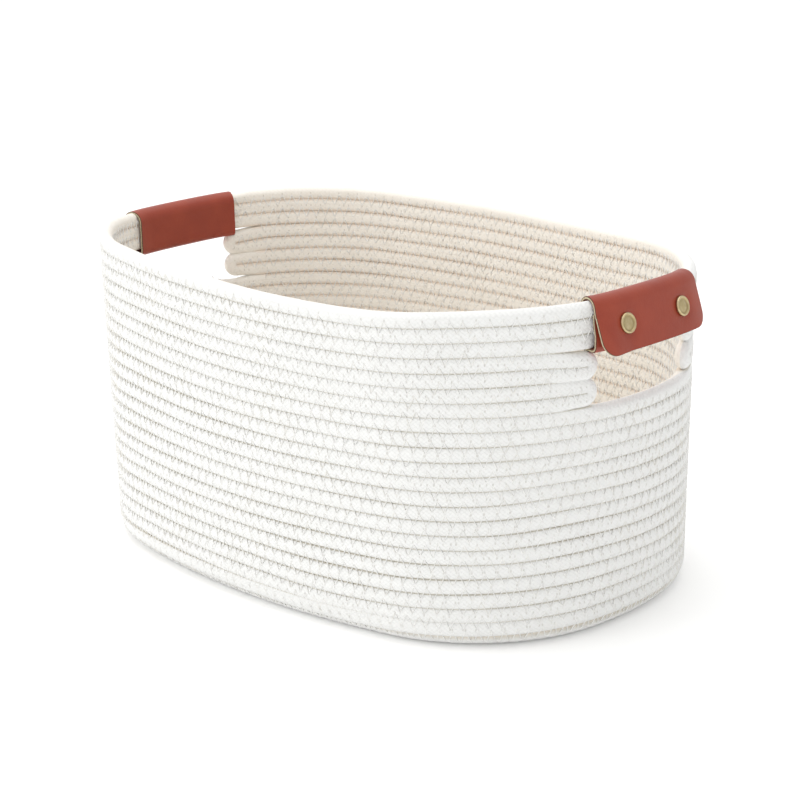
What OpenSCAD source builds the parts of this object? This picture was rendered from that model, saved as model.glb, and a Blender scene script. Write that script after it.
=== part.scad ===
// Storage basket made of one cotton rope, sewn row on row, with two riveted
// leather hand grips. The rope lies flat as the base, turns up at the floor edge,
// climbs the wall, turns back on itself in hairpins beside each hand opening, and
// goes right round the rim above the openings. +X runs along the length, towards
// one grip; +Z is up; the origin is on the floor under the middle of the basket.

/* [Basket] */
// Length over the rim, from grip end to grip end
rim_length = 384; // [376:1:400]
// Width over the rim
rim_width = 258; // [250:1:266]
// Height of one rope row, from seam to seam
row_pitch = 8; // [7.5:0.1:8.5]
// Thickness of the rope through the wall
rope_t = 7.6; // [7:0.1:8]
// Rope rows from the floor to the rim
rows = 23; // [18:1:28]
// How far the wall leans in from the rim to the floor, in the middle of an end
lean_end = 8.6; // [7.6:0.1:9]
// The same in the middle of a long side
lean_side = 6.1; // [5.6:0.1:7]
// The same at a corner
lean_corner = 2.3; // [2:0.1:4]
// How much further in the lowest row lies, where the wall turns under
curl = 2; // [0:0.5:3]

/* [Outline] */
// Radius of the long sides at the floor
side_r = 477; // [450:10:600]
// Radius of the two ends at the floor
end_r = 180; // [176:1:190]
// Radius of the corners at the floor
corner_r = 100; // [94:1:104]

/* [Hand openings] */
// Width of each opening, between the tips of the hairpins
opening_w = 82; // [80:1:92]
// Rope rows that run over an opening
rim_rows = 3; // [3:1:3]
// Hairpins, of two rows each, on either side of an opening
hairpins = 2; // [2:1:2]

/* [Leather grips] */
// Length of a grip along the rim
grip_w = 84; // [76:1:88]
// Thickness of the leather
leather_t = 1.8; // [1.4:0.1:2]
// How far the outer flap hangs below the fold under the rim rows
flap_drop = 1.6; // [1:0.1:5]
// Radius of the flap's two lower corners
flap_corner_r = 8; // [6:1:12]
// Height of the end of the ply tucked behind the flap, above the fold under it
tuck_h = 18; // [17:1:20]

/* [Rivets] */
// Distance between the two rivets of a grip
rivet_spacing = 46; // [40:1:52]
// Diameter of the outer cap
cap_d = 11; // [10:0.5:13]
// Height of the outer cap
cap_h = 1.5; // [1:0.1:2]
// Diameter of the hidden inner cap
back_d = 9; // [7:0.5:10]
// Height of the hidden inner cap
back_h = 0.5; // [0.4:0.1:0.5]
// Diameter of the post
post_d = 3; // [2.5:0.1:4]

/* [Hidden] */

height = rows * row_pitch;
first_wall_row = rim_rows + 2 * hairpins + 1;
seam_a = 50;             // where on a rope's section the next row touches it
crown_a = 17;            // half width of the rope's outer crown, on its section
chord_error = 0.4;       // most that a facet lies inside its true arc
thread_depth = 0.4;      // how much of a groove's flank the thread fills
hole_play = 0.1;         // radial room round a rivet's post

// The lean as a mean and two waves round the outline, from its three values.
lean_mean = (lean_end + lean_side + 2 * lean_corner) / 4;
lean_wave = (lean_end - lean_side) / 2;
lean_double_wave = (lean_end + lean_side - 2 * lean_corner) / 4;
function lean_at(outward) =
    let (wave = outward.x ^ 2 - outward.y ^ 2)
    lean_mean + lean_wave * wave + lean_double_wave * (2 * wave ^ 2 - 1);

// Centres of the floor outline's arcs, all tangent to the next one.
end_c = rim_length / 2 - lean_end - end_r;
side_c = rim_width / 2 - lean_side - side_r;
centre_gap = norm([end_c, side_c]);
end_reach = end_r - corner_r;
side_reach = side_r - corner_r;
along = (centre_gap ^ 2 + end_reach ^ 2 - side_reach ^ 2) / (2 * centre_gap);
across = sqrt(end_reach ^ 2 - along ^ 2);
corner_x = end_c + (-end_c * along - side_c * across) / centre_gap;
corner_y = (side_c * along - end_c * across) / centre_gap;
end_a = atan2(corner_y, corner_x - end_c);
side_a = atan2(corner_y - side_c, corner_x);

// Each arc of the outline is [centre, radius, start angle, sweep].
OUTLINE_ARCS = [
    [[end_c, 0], end_r, -end_a, 2 * end_a],
    [[corner_x, corner_y], corner_r, end_a, side_a - end_a],
    [[0, side_c], side_r, side_a, 180 - 2 * side_a],
    [[-corner_x, corner_y], corner_r, 180 - side_a, side_a - end_a],
    [[-end_c, 0], end_r, 180 - end_a, 2 * end_a],
    [[-corner_x, -corner_y], corner_r, 180 + end_a, side_a - end_a],
    [[0, -side_c], side_r, 180 + side_a, 180 - 2 * side_a],
    [[corner_x, -corner_y], corner_r, -side_a, side_a - end_a]
];

// The front wall between the two openings, where the hairpins turn back.
turn_y = opening_w / 2 + row_pitch;
turn_a = asin((turn_y - corner_y) / (corner_r + lean_mean - rope_t / 2));
FRONT_ARCS = [
    [[-corner_x, -corner_y], corner_r, 180 + turn_a, side_a - turn_a],
    [[0, -side_c], side_r, 180 + side_a, 180 - 2 * side_a],
    [[corner_x, -corner_y], corner_r, -side_a, side_a - turn_a]
];

// Rows are counted down from the rim, and seam k lies under row k.
function row_z(k) = height - (k - 0.5) * row_pitch;
function seam_z(k) = height - k * row_pitch;
function row_x(k) = -rope_t / 2 - (k == rows ? curl : 0);
function seam_x(k) = (row_x(k) + row_x(k + 1)) / 2;

// Points of a rope's section, x measured out from the wall's outline at that height.
// side is 1 on the outer face and -1 on the inner one.
function groove(k, side) = [seam_x(k) + side * rope_t / 2 * cos(seam_a), seam_z(k)];
function crown(k, side) = [
    for (a = [-side * crown_a, side * crown_a])
        [row_x(k) + side * rope_t / 2 * cos(a),
         row_z(k) + row_pitch / 2 * sin(a) / sin(seam_a)]
];
function free_edge(k, up) = [
    for (a = [seam_a, 90, 180 - seam_a])
        [row_x(k) + up * rope_t / 2 * cos(a), row_z(k) + up * row_pitch / 2 * sin(a)]
];
function outer_face(first, last) = [
    for (k = [last:-1:first])
        each concat(k < last ? [groove(k, 1)] : [], crown(k, 1))
];
function inner_face(first, last) = [
    for (k = [first:last])
        each concat(crown(k, -1), k < last ? [groove(k, -1)] : [])
];
function rope_stack(first, last) = concat(
    outer_face(first, last),
    first == 1 ? free_edge(1, 1) : [groove(first - 1, 1), groove(first - 1, -1)],
    inner_face(first, last),
    last == rows ? free_edge(rows, -1) : [groove(last, -1), groove(last, 1)]
);

// The thread's line in the outer groove of seam k, as deep as both flanks let it.
function between(p, q, part) = p + part * (q - p);
function thread_line(k) = [
    groove(k, 1),
    between(groove(k, 1), crown(k + 1, 1)[1], thread_depth),
    between(groove(k, 1), crown(k, 1)[0], thread_depth)
];

function facets(r) = ceil(180 / acos(1 - chord_error / r));
function arc_points(centre, r, from, to, steps) = [
    for (i = [0:steps])
        let (a = from + (to - from) * i / steps)
        centre + r * [cos(a), sin(a)]
];

// Stations along the outline, each [point, outward direction], counter-clockwise.
function station(arc, a) = [arc[0] + arc[1] * [cos(a), sin(a)], [cos(a), sin(a)]];
function stations(arcs) = [
    for (arc = arcs)
        let (steps = ceil(facets(arc[1]) * arc[3] / 360))
        for (i = [0:steps - 1])
            station(arc, arc[2] + arc[3] * i / steps)
];
OUTLINE = stations(OUTLINE_ARCS);
front_end = FRONT_ARCS[len(FRONT_ARCS) - 1];
FRONT = concat(stations(FRONT_ARCS), [station(front_end, front_end[2] + front_end[3])]);

// A section put down at a station: [out from the wall's outline, height] in space.
function placed(section, at) = [
    for (p = section)
        let (out = p.x + lean_at(at[1]) * p.y / height)
        [at[0].x + out * at[1].x, at[0].y + out * at[1].y, p.y]
];

// Solid through a row of rings with the same number of points. An open sweep is
// closed at both ends by strips from its outer points to its inner ones.
module sweep(rings, closed = true) {
    n = len(rings[0]);
    m = len(rings);
    last = (m - 1) * n;
    sides = [
        for (i = [0:closed ? m - 1 : m - 2], j = [0:n - 1])
            let (next = (i + 1) % m, side = (j + 1) % n)
            [i * n + j, i * n + side, next * n + side, next * n + j]
    ];
    start_cap = n == 3 ? [[2, 1, 0]] : [
        for (j = [0:n / 2 - 2])
            [n - 1 - j, n - 2 - j, j + 1, j]
    ];
    end_cap = n == 3 ? [[last, last + 1, last + 2]] : [
        for (j = [0:n / 2 - 2])
            [last + j, last + j + 1, last + n - 2 - j, last + n - 1 - j]
    ];
    points = [for (ring = rings) each ring];
    polyhedron(points, closed ? sides : concat(sides, start_cap, end_cap));
}

// The closed ring of rope rows first to last.
module rope_rings(first, last) {
    sweep([for (at = OUTLINE) placed(rope_stack(first, last), at)]);
}

// How a hairpin's two rows close to its tip: [how far on, how much of the height].
TURN_STEPS = [for (a = [22, 44, 64, 84]) [row_pitch * sin(a), cos(a)]];

// The end of rows k and k + 1, pressed together towards the seam between them.
function turn_ring(section, k, at, step, way) =
    placed([for (p = section) [p.x, seam_z(k) + step[1] * (p.y - seam_z(k))]],
           [at[0] + way * step[0] * [-at[1].y, at[1].x], at[1]]);

// Rows k and k + 1 along the front: one flat hairpin with a round turn at each end.
module front_hairpin(k) {
    stack = rope_stack(k, k + 1);
    n = len(stack);
    section = [for (j = [0:n - 1]) stack[(j + n - 1) % n]];
    count = len(TURN_STEPS);
    left_turn = [
        for (i = [count - 1:-1:0])
            turn_ring(section, k, FRONT[0], TURN_STEPS[i], -1)
    ];
    right_turn = [
        for (step = TURN_STEPS)
            turn_ring(section, k, FRONT[len(FRONT) - 1], step, 1)
    ];
    run = [for (at = FRONT) placed(section, at)];
    sweep(concat(left_turn, run, right_turn), closed = false);
}

// Thread all round in the grooves of seams first to last.
module thread_rings(first, last) {
    color("wheat")
        for (k = [first:last])
            sweep([for (at = OUTLINE) placed(thread_line(k), at)]);
}

module base_coil() {
    lowest_x = row_x(rows) - rope_t / 2;
    lowest_part = row_z(rows) / height;
    color("ivory")
        linear_extrude(rope_t)
            polygon([
                for (at = OUTLINE)
                    at[0] + (lowest_x + lowest_part * lean_at(at[1])) * at[1]
            ]);
}

module wall_coil() {
    color("whitesmoke")
        rope_rings(first_wall_row, rows);
}

module front_upper_hairpin() {
    color("whitesmoke")
        front_hairpin(rim_rows + 1);
}

module front_lower_hairpin() {
    color("white")
        front_hairpin(rim_rows + 3);
}

module back_upper_hairpin() {
    color("whitesmoke")
        mirror([0, 1, 0])
            front_hairpin(rim_rows + 1);
}

module back_lower_hairpin() {
    color("white")
        mirror([0, 1, 0])
            front_hairpin(rim_rows + 3);
}

module rim_coil() {
    color("white")
        rope_rings(1, rim_rows);
}

module wall_thread() {
    thread_rings(first_wall_row, rows - 1);
}

// The seams beside the hand openings, along the front and the back.
module side_thread() {
    color("wheat")
        for (back = [0, 1], k = [rim_rows:first_wall_row - 1])
            mirror([0, back, 0])
                sweep([for (at = FRONT) placed(thread_line(k), at)], closed = false);
}

module rim_thread() {
    thread_rings(1, rim_rows - 1);
}

// The circle that bends just like the rim's outline in the middle of an end.
end_reach_r = end_r + lean_end;
rim_r = end_reach_r ^ 2 / (end_reach_r + 4 * lean_wave + 16 * lean_double_wave);
rim_c = rim_length / 2 - rim_r;

// Places of the leather's plies, out from the rim's outline.
rope_play = 0.5;                                    // room between leather and rope
rim_lean = lean_end * (1 - row_z(rim_rows) / height);
inner_ply_x = row_x(rim_rows) - rim_lean - rope_t / 2 - rope_play;
flap_x = leather_t + 0.6;                           // the flap's rope side
flap_face_x = flap_x + leather_t;                   // the flap's outer side
fold_bottom = seam_z(rim_rows) - rope_play;         // rope side of the lower fold
fold_r = 2;                                         // rope side radius of that fold
top_r = (flap_x - inner_ply_x) / 2;                 // rope side radius of the top fold
top_c = [(flap_x + inner_ply_x) / 2, height + rope_play - top_r];
flap_bottom = fold_bottom - leather_t - flap_drop;
tuck_top = fold_bottom + tuck_h;
grip_a = asin(grip_w / 2 / rim_r);
rivet_a = asin(rivet_spacing / 2 / rim_r);
rivet_z = row_z(2);

// The leather goes from the flap over the rim, down inside, under the rim rows
// and up again behind the flap.
function grip_section() = concat(
    [[flap_face_x, flap_bottom]],
    arc_points(top_c, top_r + leather_t, 0, 180, 8),
    arc_points([inner_ply_x + fold_r, fold_bottom + fold_r], fold_r + leather_t, 180, 270, 3),
    arc_points([-fold_r, fold_bottom + fold_r], fold_r + leather_t, 270, 360, 3),
    [[leather_t, tuck_top], [0, tuck_top]],
    arc_points([-fold_r, fold_bottom + fold_r], fold_r, 360, 270, 3),
    arc_points([inner_ply_x + fold_r, fold_bottom + fold_r], fold_r, 270, 180, 3),
    arc_points(top_c, top_r, 180, 0, 8),
    [[flap_x, flap_bottom]]
);

// What rounds off one lower corner of the flap, without touching the tucked ply.
module flap_corner_cut() {
    cut_x = leather_t + 0.15;
    depth = flap_face_x;
    translate([rim_r + cut_x, -flap_corner_r, flap_bottom - 1])
        difference() {
            cube([depth, flap_corner_r + 1, flap_corner_r + 1]);
            translate([-1, 0, flap_corner_r + 1])
                rotate([0, 90, 0])
                    cylinder(r = flap_corner_r, h = depth + 2, $fn = 48);
        }
}

module rivet_place(side) {
    translate([rim_c, 0, rivet_z])
        rotate(side * rivet_a)
            translate([rim_r, 0])
                rotate([0, 90, 0])
                    children();
}

module grip() {
    color("sienna")
        difference() {
            translate([rim_c, 0])
                rotate(-grip_a)
                    rotate_extrude(angle = 2 * grip_a, $fn = facets(rim_r))
                        translate([rim_r, 0])
                            polygon(grip_section());
            for (side = [0, 1])
                mirror([0, side, 0])
                    translate([rim_c, 0])
                        rotate(grip_a)
                            flap_corner_cut();
            for (side = [-1, 1])
                rivet_place(side)
                    translate([0, 0, -1])
                        cylinder(d = post_d + 2 * hole_play, h = flap_face_x + 2, $fn = 24);
        }
}

// Outer cap: a disc with a raised rim round a flat middle.
module rivet_cap(side) {
    r = cap_d / 2;
    color("darkkhaki")
        rivet_place(side)
            translate([0, 0, flap_face_x])
                rotate_extrude($fn = 32)
                    polygon([[0, 0], [r, 0], [r, 0.6 * cap_h], [0.9 * r, cap_h],
                             [0.8 * r, cap_h], [0.74 * r, 0.75 * cap_h], [0, 0.75 * cap_h]]);
}

// Post with the hidden inner cap, which lies between the tucked ply and the rope.
module rivet_post(side) {
    ply_sag = (back_d / 2) ^ 2 / (2 * rim_r);
    color("goldenrod")
        rivet_place(side)
            translate([0, 0, -ply_sag]) {
                cylinder(d = post_d, h = flap_face_x + ply_sag, $fn = 24);
                translate([0, 0, -back_h])
                    cylinder(d = back_d, h = back_h, $fn = 32);
            }
}

// The left end is the right end turned half round, so its front is at side 1.
module left_end() {
    rotate(180)
        children();
}

base_coil();
wall_coil();
front_lower_hairpin();
front_upper_hairpin();
back_lower_hairpin();
back_upper_hairpin();
rim_coil();
wall_thread();
side_thread();
rim_thread();
grip();  // right_grip
left_end() grip();  // left_grip
rivet_cap(-1);  // right_front_rivet_cap
rivet_cap(1);  // right_back_rivet_cap
left_end() rivet_cap(1);  // left_front_rivet_cap
left_end() rivet_cap(-1);  // left_back_rivet_cap
rivet_post(-1);  // right_front_rivet_post
rivet_post(1);  // right_back_rivet_post
left_end() rivet_post(1);  // left_front_rivet_post
left_end() rivet_post(-1);  // left_back_rivet_post
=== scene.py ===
"""Coiled rope storage basket with two riveted leather grips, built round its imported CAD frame.

Everything is in metres. A place on the rope layer is given by s, how far round the basket it
lies (0 to 1, counter-clockwise from under the left grip), and q, how far up the layer it lies:
q is the height on the wall, and goes on below it round the floor edge and in across the base.
"""

import math

import bpy
import numpy as np
from mathutils import Matrix, Vector


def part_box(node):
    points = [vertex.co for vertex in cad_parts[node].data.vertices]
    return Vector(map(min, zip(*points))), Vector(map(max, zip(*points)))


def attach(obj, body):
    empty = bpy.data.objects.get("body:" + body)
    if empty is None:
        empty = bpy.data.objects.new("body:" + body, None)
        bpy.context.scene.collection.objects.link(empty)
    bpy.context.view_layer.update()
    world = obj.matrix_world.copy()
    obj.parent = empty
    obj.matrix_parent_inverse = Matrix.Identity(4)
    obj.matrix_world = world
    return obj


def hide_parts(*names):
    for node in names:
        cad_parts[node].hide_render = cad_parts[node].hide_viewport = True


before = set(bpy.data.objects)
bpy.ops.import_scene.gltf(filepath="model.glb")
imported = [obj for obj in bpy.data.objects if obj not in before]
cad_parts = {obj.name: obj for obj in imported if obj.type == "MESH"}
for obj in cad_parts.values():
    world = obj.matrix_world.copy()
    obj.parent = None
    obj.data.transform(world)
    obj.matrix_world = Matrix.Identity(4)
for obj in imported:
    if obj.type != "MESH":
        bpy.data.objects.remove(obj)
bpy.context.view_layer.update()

# ---------------------------------------------------------------- sizes

# Rows count down from the rim, from 1.
RIM_ROWS = 3
HAIRPIN_ROWS = (4, 6)  # the upper row of each hairpin
FIRST_WALL_ROW = 8

rim_low, rim_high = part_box("rim_coil")
base_low, base_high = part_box("base_coil")
HEIGHT = rim_high[2]
PITCH = (rim_high[2] - rim_low[2]) / RIM_ROWS
ROWS = round(HEIGHT / PITCH)
ROPE_T = base_high[2] - base_low[2]
FACET_LOSS = (0.0006, 0.00035)  # how far the CAD's facets lie inside the outline
HALF_LENGTH = rim_high[0] + FACET_LOSS[0]
HALF_WIDTH = rim_high[1] + FACET_LOSS[1]
LEAN = (0.00483, 0.00125, 0.00253)  # the wall's lean: its mean, and its 2nd and 4th waves
SIDE_R, END_R, CORNER_R = 0.477, 0.18, 0.100
EDGE_R = 0.007  # the rope layer's bend at the floor edge
FLOOR_HALF_LENGTH = HALF_LENGTH - LEAN[0] - LEAN[1] - LEAN[2]
FLOOR_HALF_WIDTH = HALF_WIDTH - LEAN[0] + LEAN[1] - LEAN[2]
SPINE = FLOOR_HALF_LENGTH - FLOOR_HALF_WIDTH  # half length of the base coil's straight middle
END_X = 0.12  # beyond this, along X, is an end of the outline
STAND = 0.00045  # the base stands this far up, on its stitches
STAND_FADE = 0.03  # and the wall no longer does at this height
TURN_IN = 0.02  # the rows' shape turns to the base's over this way
START_Y = 0.025  # where on the left end the coil starts and ends

TIP_NEAR, TIP_FAR = 0.034, 0.042  # hairpin tips, from the basket's long middle plane
TIP_DUCK, TIP_DUCK_LENGTH = 0.0016, 0.024  # the near upper tips duck under the leather
TIP_ROUND_LENGTH = 0.016  # a hairpin's pressed side turns round over this way
GRIP_HALF = 0.042
LEATHER_T = 0.0018
RIVET_Y = 0.023
FLAP_CORNER_R = 0.008
END_FLAT = 0.0034  # how far the leather holds the rim's end flattened
END_FLAT_HALF = 0.050  # half length of that flattened part
END_FLAT_ROWS = (6.4, 2.4)  # rows below the rim where it starts and is whole

STITCH = 0.0065  # one full zigzag of the thread
STITCH_REACH = 0.47 * PITCH  # from the seam to a needle hole
THREAD_R = 0.00036
HOLE_SHIFT = 0.0003  # how far a needle hole strays along the seam
HOLE_REACH = (0.86, 1.04)  # and how its distance from the seam varies

rng = np.random.default_rng(7)


def smooth(x):
    x = np.clip(x, 0.0, 1.0)
    return x * x * (3.0 - 2.0 * x)


def unit(v):
    return v / np.linalg.norm(v, axis=-1, keepdims=True)


def run_length(points):
    """Distance along a line, at each of its points."""
    step = np.linalg.norm(np.diff(points, axis=0), axis=1)
    return np.concatenate([[0.0], np.cumsum(step)])


# ---------------------------------------------------------------- the outline

def outline_arcs():
    """The outline at the floor as tangent arcs: (centre x, centre y, radius, start angle, sweep)."""
    end_c = FLOOR_HALF_LENGTH - END_R
    side_c = FLOOR_HALF_WIDTH - SIDE_R
    gap = math.hypot(end_c, side_c)
    end_reach = END_R - CORNER_R
    side_reach = SIDE_R - CORNER_R
    along = (gap ** 2 + end_reach ** 2 - side_reach ** 2) / (2 * gap)
    across = math.sqrt(end_reach ** 2 - along ** 2)
    cx = end_c - (end_c * along + side_c * across) / gap
    cy = (side_c * along - end_c * across) / gap
    end_a = math.atan2(cy, cx - end_c)
    side_a = math.atan2(cy - side_c, cx)
    turn = side_a - end_a
    half_turn = math.pi
    return [
        (end_c, 0.0, END_R, -end_a, 2 * end_a),
        (cx, cy, CORNER_R, end_a, turn),
        (0.0, side_c, SIDE_R, side_a, half_turn - 2 * side_a),
        (-cx, cy, CORNER_R, half_turn - side_a, turn),
        (-end_c, 0.0, END_R, half_turn - end_a, 2 * end_a),
        (-cx, -cy, CORNER_R, half_turn + end_a, turn),
        (0.0, -side_c, SIDE_R, half_turn + side_a, half_turn - 2 * side_a),
        (cx, -cy, CORNER_R, -side_a, turn),
    ]


def outline_table():
    """Distance round the outline, points and outward normals, from START_Y on the left end."""
    steps = 900
    points, normals = [], []
    for cx, cy, r, start, sweep in outline_arcs():
        a = start + sweep * np.arange(steps) / steps
        normal = np.column_stack([np.cos(a), np.sin(a)])
        points.append(np.array([cx, cy]) + r * normal)
        normals.append(normal)
    points = np.concatenate(points)
    normals = np.concatenate(normals)
    left = np.where(points[:, 0] < -END_X, np.abs(points[:, 1] - START_Y), 1.0)
    first = int(np.argmin(left))
    points = np.roll(points, -first, axis=0)
    normals = np.roll(normals, -first, axis=0)
    points = np.vstack([points, points[:1]])
    normals = np.vstack([normals, normals[:1]])
    return run_length(points), points, normals


OUT_U, OUT_P, OUT_N = outline_table()
AROUND = OUT_U[-1]


def outline(s):
    u = (np.asarray(s) % 1.0) * AROUND
    point = np.stack([np.interp(u, OUT_U, OUT_P[:, i]) for i in (0, 1)], axis=-1)
    normal = np.stack([np.interp(u, OUT_U, OUT_N[:, i]) for i in (0, 1)], axis=-1)
    return point, unit(normal)


def lean_at(normal):
    """How much further out the rim lies than the floor's outline."""
    wave = normal[..., 0] ** 2 - normal[..., 1] ** 2
    return LEAN[0] + LEAN[1] * wave + LEAN[2] * (2 * wave ** 2 - 1)


def end_flat(point, q):
    """How far the rope is held in under a grip, at a point of the outline."""
    y = np.clip(point[..., 1] / END_FLAT_HALF, -1.0, 1.0)
    at_end = np.abs(point[..., 0]) > END_X
    start, whole = END_FLAT_ROWS
    high = smooth(((q - HEIGHT) / PITCH + start) / (start - whole))
    return END_FLAT * (1 - y ** 2) ** 2 * at_end * high


def side_y(s):
    """Distance from the basket's long middle plane, of the wall beside the hand openings."""
    place, _, _ = layer(s, HEIGHT - 5.5 * PITCH)
    return np.where(np.abs(place[..., 0]) > END_X, np.abs(place[..., 1]), 1.0)


def s_at_y(y, right, back):
    """Where the wall's middle line reaches |y| on that end and side."""
    wanted = (OUT_P[:, 0] > END_X) if right else (OUT_P[:, 0] < -END_X)
    wanted &= (OUT_P[:, 1] > 0) if back else (OUT_P[:, 1] < 0)
    miss = np.where(wanted, np.abs(side_y(OUT_U / AROUND) - y), 1.0)
    return OUT_U[int(np.argmin(miss))] / AROUND


# ---------------------------------------------------------------- the rope layer

EDGE_TOP = ROPE_T / 2 + EDGE_R
EDGE_START = EDGE_TOP - EDGE_R * math.pi / 2
BASE_REACH = FLOOR_HALF_WIDTH - ROPE_T / 2 - EDGE_R  # from the spine to the floor edge
BASE_TURNS = 14.38  # the first part turn is the row along the middle
START_TURN = 14.25  # turns from the middle of that row to the floor edge
START_REACH = 0.25 * PITCH  # how far that middle lies off the spine
BASE_PACKING = (BASE_REACH - START_REACH) / (START_TURN * PITCH + EDGE_START)


def flat3(v, z):
    return np.concatenate([v, np.broadcast_to(z, v.shape[:-1])[..., None]], axis=-1)


def layer(s, q):
    """Points midway through the rope layer, their outward normals and their upward directions."""
    s, q = np.broadcast_arrays(np.asarray(s, float), np.asarray(q, float))
    point, normal = outline(s)
    bend = np.clip((q - EDGE_START) / EDGE_R, 0.0, math.pi / 2)
    lean = lean_at(normal)
    wall_inset = ROPE_T / 2 - lean * np.maximum(q, EDGE_TOP) / HEIGHT + end_flat(point, q)
    inset = wall_inset + EDGE_R * (1 - np.sin(bend))
    z = np.where(q > EDGE_TOP, q, ROPE_T / 2 + EDGE_R * (1 - np.cos(bend)))
    z = z + STAND * (1 - smooth(q / STAND_FADE))
    place = point - inset[..., None] * normal

    base_inset = ROPE_T / 2 - lean * EDGE_TOP / HEIGHT + EDGE_R
    rim_of_base = point - base_inset[..., None] * normal
    middle = np.stack([np.clip(rim_of_base[..., 0], -SPINE, SPINE), np.zeros_like(q)], axis=-1)
    share = np.clip(1 + BASE_PACKING * (q - EDGE_START) / BASE_REACH, 0.0, 1.0)[..., None]
    on_base = middle + share * (rim_of_base - middle)
    ray = unit(rim_of_base - middle)
    turned_in = smooth((EDGE_START - q) / TURN_IN)[..., None]
    outward = unit(normal * (1 - turned_in) + ray * turned_in)
    is_base = (q < EDGE_START)[..., None]
    place = np.where(is_base, on_base, place)
    outward = np.where(is_base, outward, normal)

    away = flat3(outward * np.sin(bend)[..., None], -np.cos(bend))
    up = flat3(outward * np.cos(bend)[..., None], np.sin(bend))
    return flat3(place, z), away, up


# How the soft wall has settled: (s, spread in s, height, spread in height, rows raised), with
# heights as shares of the wall.
SETTLE = [
    (0.14, 0.10, 0.80, 0.50, 0.90),  # the front left corner stands high
    (0.355, 0.07, 1.00, 0.30, -0.36),  # the rim sags along the front
    (0.340, 0.06, 0.08, 0.16, -0.36),  # the lowest front rows are spread
    (0.480, 0.035, 0.42, 0.22, 0.30),  # the front right corner bulges
    (0.57, 0.04, 0.25, 0.25, -0.22),  # the right end hangs low
    (0.71, 0.08, 1.00, 0.50, -0.45),  # the back rim dips past the right end
    (0.93, 0.06, 1.00, 0.40, 0.33),  # and rises to the left end
]

# How unevenly the rope was laid: (rows, waves per turn).
RIPPLES = [(0.016, 5.21), (0.010, 13.13)]

# How the rim climbs, in rows: it stays nearly level but for its start and its end.
RIM_LIFT_S = [0.0, 0.064, 0.5, 0.985, 1.0]
RIM_LIFT = [-0.5, -0.30, 0.0, 0.14, 0.5]
RIM_TO_WALL = 5.0  # rows over which that turns to the wall's even climb


def above_floor(turns):
    """0 on the base, rising to 1 over the first rows of the wall."""
    return smooth((turns - 0.5) / 2)


def settle(s, turns):
    """How far, in rows, the wall has settled away from an even coil."""
    height = turns / ROWS
    total = 0.0
    for at, spread, level, depth, rows in SETTLE:
        away = (s - at + 0.5) % 1.0 - 0.5
        total = total + rows * np.exp(-(away / spread) ** 2 - ((height - level) / depth) ** 2)
    return total


def lift(s, k):
    """How far, in rows, the climbing coil lies above a level row k."""
    rim = np.interp(s, RIM_LIFT_S, RIM_LIFT)
    wall = s - 0.5
    mix = smooth((k - FIRST_WALL_ROW) / RIM_TO_WALL)
    turns = ROWS - k + s
    ripple = sum(rows * np.sin(2 * math.pi * waves * turns) for rows, waves in RIPPLES)
    return rim + (wall - rim) * mix + (ripple + settle(s, turns)) * above_floor(turns)


def row_q(k, s):
    """How far up the layer the middle of row k lies. Rows count down from the rim."""
    return HEIGHT - (k - 0.5) * PITCH + PITCH * lift(s, k)


def turn_place(turns, above=0.0):
    """(s, row) of a point of the coil, counted in turns up from the floor edge."""
    whole = np.floor(turns)
    return turns - whole, ROWS - whole - above


# ---------------------------------------------------------------- meshes

MARKS = ("groove", "inside", "hole_a", "hole_b", "across")


class Shape:
    """Vertices, faces and corner UVs gathered into one mesh."""

    def __init__(self):
        self.verts, self.faces, self.uvs, self.marks = [], [], [], []
        self.slots = []
        self.count = 0

    def grid(self, points, uv, closed_across, closed_along=False, marks=None, slot=0, flip=False):
        """Quads over points (along, across, 3). uv has one more line each way that is closed."""
        m, n = points.shape[:2]
        rows = m if closed_along else m - 1
        cols = n if closed_across else n - 1
        i = np.arange(rows)[:, None]
        j = np.arange(cols)[None, :]
        i2, j2 = (i + 1) % m, (j + 1) % n
        quad = np.stack([i * n + j, i * n + j2, i2 * n + j2, i2 * n + j], axis=-1)
        corner = np.stack([uv[:-1, :-1], uv[:-1, 1:], uv[1:, 1:], uv[1:, :-1]], axis=2)
        quad, corner = quad.reshape(-1, 4), corner.reshape(-1, 4, 2)
        if flip:
            quad, corner = quad[:, ::-1], corner[:, ::-1]
        self.faces.extend((quad + self.count).tolist())
        self.uvs.append(corner.reshape(-1, 2))
        self.slots.extend([slot] * len(quad))
        self.add_points(points.reshape(-1, 3), marks)
        return self.count - m * n

    def add_points(self, points, marks=None):
        self.verts.append(points)
        if marks is None:
            marks = np.zeros((len(points), len(MARKS)))
        self.marks.append(marks.reshape(-1, len(MARKS)))
        self.count += len(points)

    def cap(self, start, n, flip):
        ring = list(range(start, start + n))
        self.faces.append(ring[::-1] if flip else ring)
        self.uvs.append(np.zeros((n, 2)))
        self.slots.append(0)

    def object(self, name, materials, mark_names=()):
        mesh = bpy.data.meshes.new(name)
        mesh.from_pydata(np.concatenate(self.verts).tolist(), [], self.faces)
        mesh.uv_layers.new(name="UVMap").data.foreach_set("uv", np.concatenate(self.uvs).ravel())
        marks = np.concatenate(self.marks)
        for column, mark in enumerate(mark_names):
            attribute = mesh.attributes.new(mark, "FLOAT", "POINT")
            attribute.data.foreach_set("value", np.ascontiguousarray(marks[:, column]))
        for material in materials:
            mesh.materials.append(material)
        mesh.polygons.foreach_set("material_index", self.slots)
        mesh.shade_smooth()
        mesh.validate()
        mesh.update()
        piece = bpy.data.objects.new(name, mesh)
        bpy.context.scene.collection.objects.link(piece)
        return piece


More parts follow.
